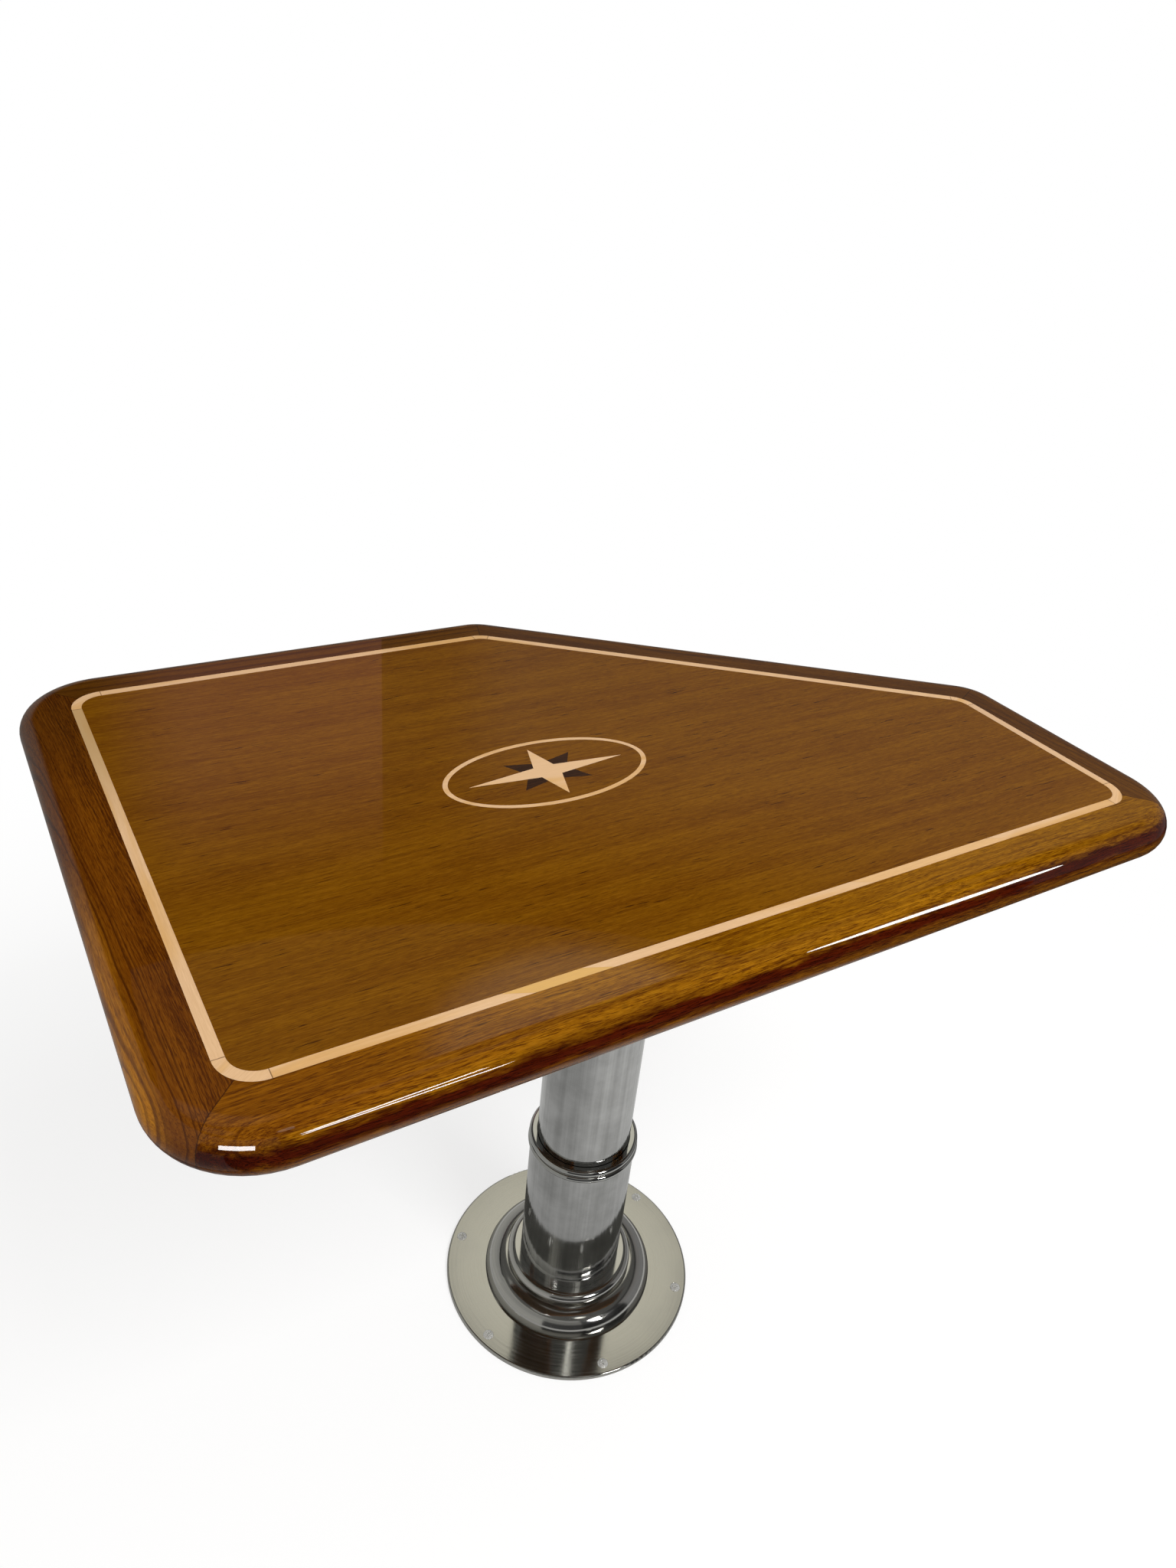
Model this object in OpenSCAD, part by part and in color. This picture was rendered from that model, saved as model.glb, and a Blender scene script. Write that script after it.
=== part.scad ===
// Boat table: teak top with a pale inlaid band, on a three-stage polished telescopic column.
// Millimetres. Origin on the column axis at the deck, +X along the front edge, +Z up.
// Drawn raised to dining height, the way the table stands in use.

/* [View] */
// Piece to draw, or all of them

/* [Table top] */
// Height of the varnished top face above the deck
table_h = 746; // [700:1:790]
// Length of the front edge between the unrounded corners
top_len = 919; // [860:1:980]
// Depth from the front edge to the back edge
top_wid = 615; // [570:1:660]
// Length that the slanted edge takes off the back edge
cut_len = 445; // [380:1:500]
// Depth that the slanted edge takes off the right edge
cut_wid = 335.5; // [280:0.5:380]
// Left edge to column axis
axis_from_left = 478.5; // [420:0.5:520]
// Front edge to column axis
axis_from_front = 292; // [260:1:330]
// Thickness of the top, which is twice the radius of its round edge
top_thick = 40; // [28:1:46]
// Width of the rim boards
rim_w = 44.8; // [38:0.2:60]
// What the radius of the three square corners has over the width of the rim
square_corner_extra = 29.2; // [14:0.2:40]
// What the radius of the two blunt corners has over the width of the rim
blunt_corner_extra = 5.2; // [5:0.2:30]
// Thickness of the veneer under the top
under_veneer_t = 1.5; // [0.6:0.1:3]

/* [Pale inlay] */
// Width of the pale band
band_w = 8.4; // [4:0.2:14]
// Depth of the pale band and thickness of the teak panel inside it
band_t = 3; // [2:0.25:5]
// Corner radius at the middle of the pale band
band_corner_r = 24; // [12:1:40]
// Half length of the oval ring, at its outside
oval_half_len = 97.5; // [70:0.5:130]
// Half width of the oval ring, at its outside
oval_half_wid = 51.2; // [35:0.2:70]
// Width of the oval ring's line
oval_line_w = 4.5; // [2:0.25:8]
// Middle of the oval from the column axis, along the front edge
oval_x = -88; // [-140:1:20]
// Middle of the oval from the column axis, towards the back
oval_y = -1; // [-60:1:60]
// Depth of the oval ring and star in the teak panel
marquetry_t = 1.5; // [0.6:0.1:2.5]
// Reach of the star's long points
star_long = 76; // [50:1:88]
// Reach of the star's short points
star_short = 39; // [25:1:44]
// Waist of the star between its points, along the front edge
star_waist_x = 10; // [6:0.5:16]
// Waist of the star between its points, towards the back
star_waist_y = 8; // [5:0.5:12]
// Tip of a small dark point, along the front edge
dart_tip_x = 33; // [20:1:45]
// Tip of a small dark point, towards the back
dart_tip_y = 22; // [14:1:30]
// Share of the short point's side that a dark point covers
dart_share_short = 0.24; // [0.1:0.01:0.4]
// Share of the long point's side that a dark point covers
dart_share_long = 0.2; // [0.1:0.01:0.4]

/* [Deck flange] */
// Radius of the deck flange
flange_r = 150; // [120:1:180]
// Thickness of the deck flange
flange_t = 5; // [3:0.5:8]
// Rounding of the flange's upper edge
flange_edge_r = 2; // [0.5:0.5:3]
// Radius of the circle that the deck screws stand on
deck_screw_circle_r = 137.5; // [110:0.5:142]
// Number of deck screws
deck_screw_count = 6; // [4:1:8]
// Direction of the first deck screw from +X, degrees
deck_screw_start = 18; // [0:1:60]
// Radius of a deck screw's shank
deck_screw_r = 3; // [2:0.25:4]
// Radius of a deck screw's raised head
deck_head_r = 6; // [4:0.25:8]
// Depth of a deck screw's countersink
deck_sink = 3; // [2:0.25:4]
// Height of the raised head's crown
deck_crown = 1.8; // [0.8:0.1:2.5]
// Width of the cross recess in the heads
recess_w = 1.1; // [0.6:0.1:1.6]
// Length of the cross recess in the deck screw heads
recess_len = 6; // [4:0.5:8]
// Depth of the cross recess
recess_d = 1.3; // [0.6:0.1:2]
// Radius of the cable hole in the flange
cable_r = 8; // [5:0.5:10]
// Distance of the cable hole from the column axis
cable_off = 40; // [34:0.5:44]

/* [Foot moulding] */
// Outer radius of the foot moulding
foot_r = 102; // [90:1:120]
// Radius of its big round
foot_round = 24; // [16:1:30]
// Width of the groove between the two rounds
foot_groove_w = 2.5; // [1.5:0.25:4]
// Depth of that groove
foot_groove_d = 3.5; // [2:0.25:5]
// Radius of the small upper round
foot_lip_round = 8.5; // [5:0.25:12]
// Height of the moulding's upper lip above the deck
foot_top = 40; // [34:0.5:50]
// Wall of the hollow moulding
foot_wall = 3; // [2:0.25:4]

/* [Column tubes] */
// Outer radius of the lower tube
low_tube_r = 60; // [55:0.5:70]
// Outer radius of the middle tube
mid_tube_r = 53; // [48:0.5:62]
// Outer radius of the upper tube
up_tube_r = 46; // [42:0.5:54]
// Wall of each tube
tube_wall = 3; // [2:0.25:4]
// Height of the lower tube's end above the deck
low_tube_top = 232; // [210:1:260]
// Foot of the middle tube, raised
mid_tube_foot = 162; // [155:1:175]
// Top of the middle tube, raised
mid_tube_top = 430; // [420:1:445]
// Foot of the upper tube, raised
up_tube_foot = 329; // [322:1:340]
// Stroke of each of the two slides
stroke = 150; // [120:1:150]

/* [Collars and seals] */
// Height of the lower collar above the lower tube's end
low_collar_rise = 13.5; // [11:0.5:18]
// Radius of the lower collar's beads
low_bead_r = 4; // [3:0.25:5]
// Widest radius of the lower collar
low_collar_r = 63; // [61.5:0.25:66]
// Height of the middle collar above the middle tube's end
mid_collar_rise = 10; // [9:0.5:14]
// Radius of the middle collar's beads
mid_bead_r = 2.8; // [2:0.1:3.5]
// Widest radius of the middle collar
mid_collar_r = 55.7; // [54.5:0.1:58]
// Step back of a collar's upper bead
bead_step = 0.8; // [0:0.1:2]
// Height of a collar's skirt over the tube below it
skirt_h = 3.3; // [2:0.1:5]
// Thickness of a collar's skirt
skirt_t = 0.9; // [0.6:0.1:1.5]
// Height of a wiper seal
wiper_h = 4; // [3:0.25:5]
// Radial thickness of a wiper seal
wiper_t = 3; // [2:0.25:3.5]
// Depth of a wiper seal below the collar's top
wiper_drop = 2.2; // [1.5:0.1:4]
// Free space between a collar and the tube that slides in it
collar_gap = 0.6; // [0.3:0.1:1]

/* [Guides] */
// Height of an upper guide bush
guide_h = 24; // [16:1:30]
// Height of a foot guide bush
foot_guide_h = 20; // [14:1:26]
// Width of an anti-turn rail
rail_w = 10; // [6:1:16]
// Radial thickness of an anti-turn rail
rail_t = 2.8; // [2:0.1:3]
// Foot of the lower rail above the deck
low_rail_foot = 8; // [6:1:12]

/* [Lifting ram] */
// Radius of the fixed rod
rod_r = 12; // [9:0.5:13]
// Outer radius of the middle ram tube
ram_mid_r = 20; // [18:0.5:21]
// Outer radius of the ram barrel
ram_out_r = 29; // [27:0.5:32]
// Wall of the ram tubes
ram_wall = 4; // [2.5:0.25:5]
// Top of the fixed rod above the deck
rod_top = 240; // [225:1:242]
// Height of the rod's head, of the ram pistons and of the glands
gland_h = 12; // [8:1:16]
// Top of the middle ram tube, raised
ram_mid_top = 400; // [390:1:403]
// Thickness of the middle ram tube's end
ram_cap = 5; // [3:1:8]
// Foot of the ram barrel, raised
barrel_foot = 335; // [333:1:350]
// Radius of the disc that holds the rod on the flange
rod_foot_r = 30; // [24:1:32]
// Thickness of that disc
rod_foot_t = 5; // [3:0.5:6]
// Thickness of the plate in the middle tube's foot
carrier_t = 10; // [6:1:12]
// Radius of the flange at the barrel's head
barrel_flange_r = 40; // [34:1:42]
// Thickness of the flange at the barrel's head
barrel_flange_t = 6; // [4:0.5:8]
// Radius of the threaded stud on the barrel
stud_r = 6; // [4:0.5:8]
// Height of the nut on the stud
nut_h = 10; // [6:0.5:12]
// Radius over the nut's corners
nut_r = 11; // [9:0.5:13]
// Radius of the pocket for the nut in the top
nut_pocket_r = 15; // [13:0.5:20]
// Depth of the pocket for the nut in the top
nut_pocket_d = 16; // [12:1:24]

/* [Head plate] */
// Radius of the plate under the top
head_r = 110; // [90:1:140]
// Thickness of the plate under the top
head_t = 6; // [4:0.5:10]
// Rounding of the plate's lower edge
head_edge_r = 2; // [1:0.5:3]
// Height of the hub round the upper tube
hub_h = 18; // [14:1:26]
// Wall of the hub
hub_wall = 5; // [3:0.5:8]
// Hollow round between hub and plate
hub_cove = 8; // [4:0.5:12]
// Number of screws through the plate
head_screw_count = 8; // [6:1:12]
// Radius of the circle that they stand on
head_screw_circle_r = 92; // [75:1:125]
// Radius of their shanks
head_screw_r = 2.5; // [2:0.25:3]
// Radius of their heads
head_head_r = 5; // [4:0.25:6]
// Depth of their countersink
head_sink = 2.5; // [2:0.25:3.5]
// Length of those screws
head_screw_len = 28; // [20:1:34]

/* [Clearances] */
// Radial running clearance of every guide, gland, piston and wiper
run_gap = 0.05; // [0.02:0.01:0.1]
// Clearance of a part that is set in place
seat_gap = 0.1; // [0.05:0.05:0.3]
// Sideways clearance of a bush on its rail
rail_gap = 0.1; // [0.05:0.05:0.2]
// Clear space round a screw's shank
screw_gap = 0.3; // [0.1:0.05:0.5]
// Clear space round the rod in the carrier plate
rod_gap = 1; // [0.5:0.25:2]

/* [Hidden] */
// Reach of a cutting shape past the face it cuts
over = 1;
// Fineness of round shapes
$fn = 96;
// Half of the top's thickness, the radius of its round edge
edge_r = top_thick / 2;
// Underside of the top
under_z = table_h - top_thick;
// Top of the core, where the pale band and the teak panel lie
core_z = table_h - band_t;
// Distance from the edge to the middle of a corner of the pale band
band_centre = rim_w + band_w / 2 + band_corner_r;
// Outer radius of the pale band's corners
band_out_r = band_corner_r + band_w / 2;
// Inner radius of the pale band's corners
band_in_r = band_corner_r - band_w / 2;
// Left, right, front and back of the top
left_x = -axis_from_left;
right_x = top_len - axis_from_left;
front_y = -axis_from_front;
back_y = top_wid - axis_from_front;
// Unrounded corners of the top, anticlockwise from the front left
corner = [
  [left_x, front_y],
  [right_x, front_y],
  [right_x, back_y - cut_wid],
  [right_x - cut_len, back_y],
  [left_x, back_y]
];
// Number of edges of the top
edges = len(corner);
// Least turn of a square corner
square_turn = 75;
// Edge directions, edge lengths and turning angles
function after(i) = (i + 1) % edges;
function before(i) = (i + edges - 1) % edges;
function run(i) = corner[after(i)] - corner[i];
function edge_len(i) = norm(run(i));
function heading(i) = atan2(run(i)[1], run(i)[0]);
function turn(i) = (heading(i) - heading(before(i)) + 720) % 360;
function out_of(i) = [sin(heading(i)), -cos(heading(i))];
// Radius of an outer corner: a turn above the limit counts as square
function corner_r(i) = rim_w + (turn(i) > square_turn ? square_corner_extra : blunt_corner_extra);
// A length rounded to a thousandth of a millimetre, so that joined pieces share one plane
function to_micron(v) = round(v * 1000) / 1000;
// Distance from a corner to the foot of a rounding centre that lies d inside the edge
function setback(i, d) = d * tan(turn(i) / 2);
function along(i) = [cos(heading(i)), sin(heading(i))];
function centre(i, d) = corner[i] + along(i) * setback(i, d) - out_of(i) * d;
// Bore radii of the tubes
low_bore_r = low_tube_r - tube_wall;
mid_bore_r = mid_tube_r - tube_wall;
up_bore_r = up_tube_r - tube_wall;
// Tops of the collars
low_collar_top = low_tube_top + low_collar_rise;
mid_collar_top = mid_tube_top + mid_collar_rise;
// Head plate and hub levels
head_z = under_z - head_t;
hub_z = head_z - hub_h;
// Bore radii of the ram tubes
ram_mid_bore = ram_mid_r - ram_wall;
ram_out_bore = ram_out_r - ram_wall;
// Top of the carrier plate, where the middle ram tube stands
carrier_top = mid_tube_foot + carrier_t;
// Radius of the ball that forms a deck screw's crown
crown_ball_r = (deck_head_r * deck_head_r + deck_crown * deck_crown) / (2 * deck_crown);
// Colours of the materials
teak = [0.45, 0.27, 0.1];
teak_rim = [0.42, 0.22, 0.08];
pale_wood = [0.86, 0.7, 0.48];
dark_wood = [0.2, 0.1, 0.05];
plywood = [0.72, 0.58, 0.4];
steel = [0.75, 0.76, 0.77];
screw_steel = [0.68, 0.69, 0.7];
acetal = [0.9, 0.9, 0.88];
rubber = [0.08, 0.08, 0.08];
ram_steel = [0.55, 0.56, 0.58];

// A ring: outer radius, inner radius, foot and top
module ring(out, in, low, high) {
  difference() {
    translate([0, 0, low])
      cylinder(r = out, h = high - low);
    translate([0, 0, low - over])
      cylinder(r = in, h = high - low + 2 * over);
  }
}

// Children repeated round the column axis
module around(count, first, radius) {
  for (i = [0 : count - 1])
    rotate([0, 0, first + i * 360 / count])
      translate([radius, 0, 0])
        children();
}

// Cross recess, cut downwards from a level
module cross_recess(level, length) {
  translate([-length / 2, -recess_w / 2, level - recess_d])
    cube([length, recess_w, recess_d + deck_crown + over]);
  translate([-recess_w / 2, -length / 2, level - recess_d])
    cube([recess_w, length, recess_d + deck_crown + over]);
}

// Deck flange: round plate with a rounded upper edge, countersunk holes and a cable hole
module base_flange() {
  color(steel)
    difference() {
      rotate_extrude() {
        square([flange_r - flange_edge_r, flange_t]);
        square([flange_r, flange_t - flange_edge_r]);
        translate([flange_r - flange_edge_r, flange_t - flange_edge_r])
          circle(r = flange_edge_r);
      }
      around(deck_screw_count, deck_screw_start, deck_screw_circle_r) {
        translate([0, 0, -over])
          cylinder(r = deck_screw_r + screw_gap, h = flange_t + 2 * over);
        translate([0, 0, flange_t - deck_sink])
          cylinder(r1 = deck_screw_r + seat_gap, r2 = deck_head_r + seat_gap, h = deck_sink);
      }
      translate([0, cable_off, -over])
        cylinder(r = cable_r, h = flange_t + 2 * over);
    }
}

// Deck screws with raised countersunk heads, drawn down to the deck
module base_screws() {
  color(screw_steel)
    around(deck_screw_count, deck_screw_start, deck_screw_circle_r)
      difference() {
        union() {
          cylinder(r = deck_screw_r, h = flange_t);
          translate([0, 0, flange_t - deck_sink])
            cylinder(r1 = deck_screw_r, r2 = deck_head_r, h = deck_sink);
          intersection() {
            translate([0, 0, flange_t + deck_crown - crown_ball_r])
              sphere(r = crown_ball_r);
            translate([0, 0, flange_t])
              cylinder(r = deck_head_r, h = deck_crown + over);
          }
        }
        cross_recess(flange_t + deck_crown, recess_len);
      }
}

// A quarter of a disc, drawn away from the axis and upwards
module quarter(radius) {
  intersection() {
    circle(r = radius);
    square([radius, radius]);
  }
}

// Foot moulding: hollow spun ring with a big round, a groove and a small upper round
module foot_moulding() {
  big_x = foot_r - foot_round;
  lip_x = big_x - foot_groove_w;
  lip_z = foot_top - foot_lip_round;
  bore = low_tube_r + seat_gap;
  hollow_h = foot_round - foot_groove_d - foot_wall;
  color(steel)
    rotate_extrude()
      difference() {
        union() {
          translate([big_x, flange_t])
            quarter(foot_round);
          translate([bore, flange_t])
            square([big_x - bore, foot_round]);
          translate([bore, flange_t])
            square([lip_x - bore, lip_z - flange_t]);
          translate([bore, flange_t])
            square([lip_x - foot_lip_round - bore, foot_top - flange_t]);
          translate([lip_x - foot_lip_round, lip_z])
            quarter(foot_lip_round);
        }
        translate([lip_x, flange_t + foot_round - foot_groove_d])
          square([foot_groove_w, foot_groove_d + over]);
        difference() {
          union() {
            translate([big_x, flange_t])
              quarter(foot_round - foot_wall);
            translate([bore + foot_wall, flange_t - over])
              square([big_x - bore - foot_wall, over + hollow_h]);
            translate([big_x, flange_t - over])
              square([foot_round - foot_wall, over]);
          }
          translate([big_x, flange_t + hollow_h])
            square([foot_wall, foot_round]);
        }
      }
}

// Lower tube, standing on the flange
module lower_tube() {
  color(steel)
    ring(low_tube_r, low_bore_r, flange_t, low_tube_top);
}

// A two-bead collar on the end of a tube
module collar(tube_r, tube_top, slide_r, rise, bead_r, widest) {
  bead_x = widest - bead_r;
  top = tube_top + rise;
  step_x = bead_x - bead_step;
  skirt_z = tube_top - skirt_h;
  rotate_extrude()
    difference() {
      union() {
        translate([slide_r + collar_gap, skirt_z])
          square([step_x - slide_r - collar_gap, top - skirt_z]);
        translate([slide_r + collar_gap, skirt_z])
          square([tube_r + seat_gap + skirt_t - slide_r - collar_gap, skirt_h + bead_r]);
        translate([bead_x, tube_top + bead_r / 4])
          circle(r = bead_r);
        translate([step_x, top - bead_r])
          circle(r = bead_r);
      }
      translate([0, skirt_z - bead_r])
        square([tube_r + seat_gap, skirt_h + bead_r + seat_gap]);
      translate([0, top - wiper_drop - wiper_h])
        square([slide_r + run_gap + wiper_t, wiper_h]);
    }
}

// Lower collar
module lower_collar() {
  color(steel)
    collar(low_tube_r, low_tube_top, mid_tube_r, low_collar_rise, low_bead_r, low_collar_r);
}

// Lower wiper seal, running on the middle tube
module lower_wiper() {
  color(rubber)
    ring(
      mid_tube_r + run_gap + wiper_t, mid_tube_r + run_gap,
      low_collar_top - wiper_drop - wiper_h, low_collar_top - wiper_drop
    );
}

// Guide bush in the end of the lower tube
module lower_guide_bush() {
  color(acetal)
    ring(low_bore_r, mid_tube_r + run_gap, low_tube_top - guide_h, low_tube_top);
}

// A flat rail on the inner wall of a tube
module rail(bore, low, high) {
  intersection() {
    translate([0, 0, low])
      cylinder(r = bore - seat_gap, h = high - low);
    translate([bore - rail_t, -rail_w / 2, low])
      cube([rail_t + over, rail_w, high - low]);
  }
}

// Room for a rail in a foot bush
module rail_room(bore, low, high) {
  translate([bore - rail_t - rail_gap, -rail_w / 2 - rail_gap, low - over])
    cube([rail_t + rail_gap + over, rail_w + 2 * rail_gap, high - low + 2 * over]);
}

// Lower anti-turn rail
module lower_key_rail() {
  color(steel)
    rail(low_bore_r, low_rail_foot, low_tube_top - guide_h - seat_gap);
}

// Fixed ram rod with its head
module ram_rod() {
  color(ram_steel) {
    translate([0, 0, flange_t])
      cylinder(r = rod_r, h = rod_top - flange_t);
    translate([0, 0, rod_top - gland_h])
      cylinder(r = ram_mid_bore - run_gap, h = gland_h);
  }
}

// Disc that holds the rod on the flange
module ram_rod_foot() {
  color(ram_steel)
    ring(rod_foot_r, rod_r, flange_t, flange_t + rod_foot_t);
}

// Middle tube
module middle_tube() {
  color(steel)
    ring(mid_tube_r, mid_bore_r, mid_tube_foot, mid_tube_top);
}

// Middle collar
module middle_collar() {
  color(steel)
    collar(mid_tube_r, mid_tube_top, up_tube_r, mid_collar_rise, mid_bead_r, mid_collar_r);
}

// Middle wiper seal, running on the upper tube
module middle_wiper() {
  color(rubber)
    ring(
      up_tube_r + run_gap + wiper_t, up_tube_r + run_gap,
      mid_collar_top - wiper_drop - wiper_h, mid_collar_top - wiper_drop
    );
}

// Guide bush in the end of the middle tube
module middle_guide_bush() {
  color(acetal)
    ring(mid_bore_r, up_tube_r + run_gap, mid_tube_top - guide_h, mid_tube_top);
}

// Bush round the middle tube's foot, slotted for the lower rail
module middle_foot_bush() {
  color(acetal)
    difference() {
      ring(low_bore_r - run_gap, mid_tube_r, mid_tube_foot, mid_tube_foot + foot_guide_h);
      rail_room(low_bore_r, mid_tube_foot, mid_tube_foot + foot_guide_h);
    }
}

// Middle anti-turn rail
module middle_key_rail() {
  color(steel)
    rail(mid_bore_r, carrier_top, mid_tube_top - guide_h - seat_gap);
}

// Plate in the middle tube's foot, which carries the middle ram tube
module carrier_plate() {
  color(ram_steel)
    ring(mid_bore_r, rod_r + rod_gap, mid_tube_foot, carrier_top);
}

// Middle ram tube: gland at its foot, piston at its head
module ram_middle_tube() {
  color(ram_steel) {
    ring(ram_mid_r, ram_mid_bore, carrier_top, ram_mid_top - ram_cap);
    ring(ram_mid_r, rod_r + run_gap, carrier_top, carrier_top + gland_h);
    ring(ram_out_bore - run_gap, ram_mid_bore, ram_mid_top - gland_h, ram_mid_top - ram_cap);
    translate([0, 0, ram_mid_top - ram_cap])
      cylinder(r = ram_out_bore - run_gap, h = ram_cap);
  }
}

// Upper tube
module upper_tube() {
  color(steel)
    ring(up_tube_r, up_bore_r, up_tube_foot, head_z);
}

// Bush round the upper tube's foot, slotted for the middle rail
module upper_foot_bush() {
  color(acetal)
    difference() {
      ring(mid_bore_r - run_gap, up_tube_r, up_tube_foot, up_tube_foot + foot_guide_h);
      rail_room(mid_bore_r, up_tube_foot, up_tube_foot + foot_guide_h);
    }
}

// Ram barrel with its gland, head flange and stud
module ram_barrel() {
  color(ram_steel) {
    ring(ram_out_r, ram_out_bore, barrel_foot, head_z - barrel_flange_t);
    ring(ram_out_r, ram_mid_r + run_gap, barrel_foot, barrel_foot + gland_h);
    translate([0, 0, head_z - barrel_flange_t])
      cylinder(r = barrel_flange_r, h = barrel_flange_t);
    translate([0, 0, head_z])
      cylinder(r = stud_r, h = head_t + nut_h + stud_r / 2);
  }
}

// Nut that holds the ram barrel to the head plate
module ram_nut() {
  color(ram_steel)
    difference() {
      translate([0, 0, under_z])
        cylinder(r = nut_r, h = nut_h, $fn = 6);
      translate([0, 0, under_z - over])
        cylinder(r = stud_r, h = nut_h + 2 * over);
    }
}

// Hub round the upper tube, coved into the head plate
module head_hub() {
  in = up_tube_r;
  out = up_tube_r + hub_wall;
  color(steel)
    rotate_extrude()
      difference() {
        translate([in, hub_z])
          square([hub_wall + hub_cove, hub_h]);
        translate([out, hub_z - over])
          square([hub_cove + over, hub_h - hub_cove + over]);
        translate([out + hub_cove, head_z - hub_cove])
          circle(r = hub_cove);
      }
}

// Head plate under the top
module head_plate() {
  color(steel)
    difference() {
      rotate_extrude() {
        translate([0, head_z])
          square([head_r - head_edge_r, head_t]);
        translate([0, head_z + head_edge_r])
          square([head_r, head_t - head_edge_r]);
        translate([head_r - head_edge_r, head_z + head_edge_r])
          circle(r = head_edge_r);
      }
      translate([0, 0, head_z - over])
        cylinder(r = stud_r + seat_gap, h = head_t + 2 * over);
      around(head_screw_count, 0, head_screw_circle_r) {
        translate([0, 0, head_z - over])
          cylinder(r = head_screw_r + screw_gap, h = head_t + 2 * over);
        translate([0, 0, head_z])
          cylinder(r1 = head_head_r + seat_gap, r2 = head_screw_r + seat_gap, h = head_sink);
      }
    }
}

// Screws through the head plate into the core
module head_screws() {
  color(screw_steel)
    around(head_screw_count, 0, head_screw_circle_r)
      difference() {
        union() {
          translate([0, 0, head_z])
            cylinder(r = head_screw_r, h = head_screw_len);
          translate([0, 0, head_z])
            cylinder(r1 = head_head_r, r2 = head_screw_r, h = head_sink);
        }
        translate([-head_head_r / 2, -recess_w / 2, head_z - over])
          cube([head_head_r, recess_w, recess_d + over]);
        translate([-recess_w / 2, -head_head_r / 2, head_z - over])
          cube([recess_w, head_head_r, recess_d + over]);
      }
}

// Plan of the top with rounded corners, a set distance inside its edge
module inside_plan(radius) {
  polygon([
    for (i = [0 : edges - 1])
      for (k = [0 : 1])
        centre(i, band_centre) + out_of(k == 0 ? before(i) : i) * radius
  ]);
  for (i = [0 : edges - 1])
    translate(centre(i, band_centre))
      circle(r = radius);
}

// Holes for the head screws and the nut in the underside of the top
module under_holes() {
  translate([0, 0, under_z - over])
    cylinder(r = nut_pocket_r, h = nut_pocket_d + over);
  around(head_screw_count, 0, head_screw_circle_r)
    translate([0, 0, under_z - over])
      cylinder(r = head_screw_r, h = head_screw_len - head_t + over);
}

// Core board inside the rim
module top_core() {
  color(plywood)
    difference() {
      translate([0, 0, under_z + under_veneer_t])
        linear_extrude(height = top_thick - under_veneer_t - band_t)
          inside_plan(band_out_r);
      under_holes();
    }
}

// Teak veneer under the core
module under_veneer() {
  color(teak)
    difference() {
      translate([0, 0, under_z])
        linear_extrude(height = under_veneer_t)
          inside_plan(band_out_r);
      under_holes();
    }
}

// An oval of given half length and half width
module oval(half_len, half_wid) {
  scale([1, half_wid / half_len])
    circle(r = half_len);
}

// Plan of the oval ring
module oval_plan() {
  difference() {
    oval(oval_half_len, oval_half_wid);
    oval(oval_half_len - oval_line_w, oval_half_wid - oval_line_w);
  }
}

// Plan of the four-pointed star
module star_plan() {
  polygon([
    [star_long, 0], [star_waist_x, star_waist_y],
    [0, star_short], [-star_waist_x, star_waist_y],
    [-star_long, 0], [-star_waist_x, -star_waist_y],
    [0, -star_short], [star_waist_x, -star_waist_y]
  ]);
}

// Plan of one dark point between two points of the star
module dart_plan(sx, sy) {
  waist = [sx * star_waist_x, sy * star_waist_y];
  on_short = waist + dart_share_short * ([0, sy * star_short] - waist);
  on_long = waist + dart_share_long * ([sx * star_long, 0] - waist);
  polygon([waist, on_long, [sx * dart_tip_x, sy * dart_tip_y], on_short]);
}

// Marquetry piece: a plan set into the face of the top at the oval
module marquetry(depth) {
  translate([oval_x, oval_y, table_h - depth])
    linear_extrude(height = depth)
      children();
}

// Teak panel inside the pale band, cut out for the marquetry
module teak_panel() {
  color(teak)
    difference() {
      translate([0, 0, core_z])
        linear_extrude(height = band_t)
          inside_plan(band_in_r);
      translate([oval_x, oval_y, table_h - marquetry_t])
        linear_extrude(height = marquetry_t + over)
          oval_plan();
      translate([oval_x, oval_y, table_h - marquetry_t])
        linear_extrude(height = marquetry_t + over)
          star_plan();
      for (sx = [-1, 1])
        for (sy = [-1, 1])
          translate([oval_x, oval_y, table_h - marquetry_t])
            linear_extrude(height = marquetry_t + over)
              dart_plan(sx, sy);
    }
}

// Pale oval ring
module oval_ring() {
  color(pale_wood)
    marquetry(marquetry_t)
      oval_plan();
}

// Pale four-pointed star
module star_light() {
  color(pale_wood)
    marquetry(marquetry_t)
      star_plan();
}

// Small dark points between the star's points
module star_dark() {
  color(dark_wood)
    for (sx = [-1, 1])
      for (sy = [-1, 1])
        marquetry(marquetry_t)
          dart_plan(sx, sy);
}

// Section of the rim with its round edge, seen from the outer edge inwards
module rim_section() {
  translate([edge_r, 0])
    square([band_centre - edge_r, top_thick]);
  translate([edge_r, edge_r])
    circle(r = edge_r);
}

// Half a rounded corner, from the end of the straight run to the mitre, around its centre
module half_corner(radius, turning) {
  rotate([0, 0, -90])
    rotate_extrude(angle = turning / 2) {
      square([radius - edge_r, top_thick]);
      translate([radius - edge_r, edge_r])
        circle(r = edge_r);
    }
}

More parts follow.
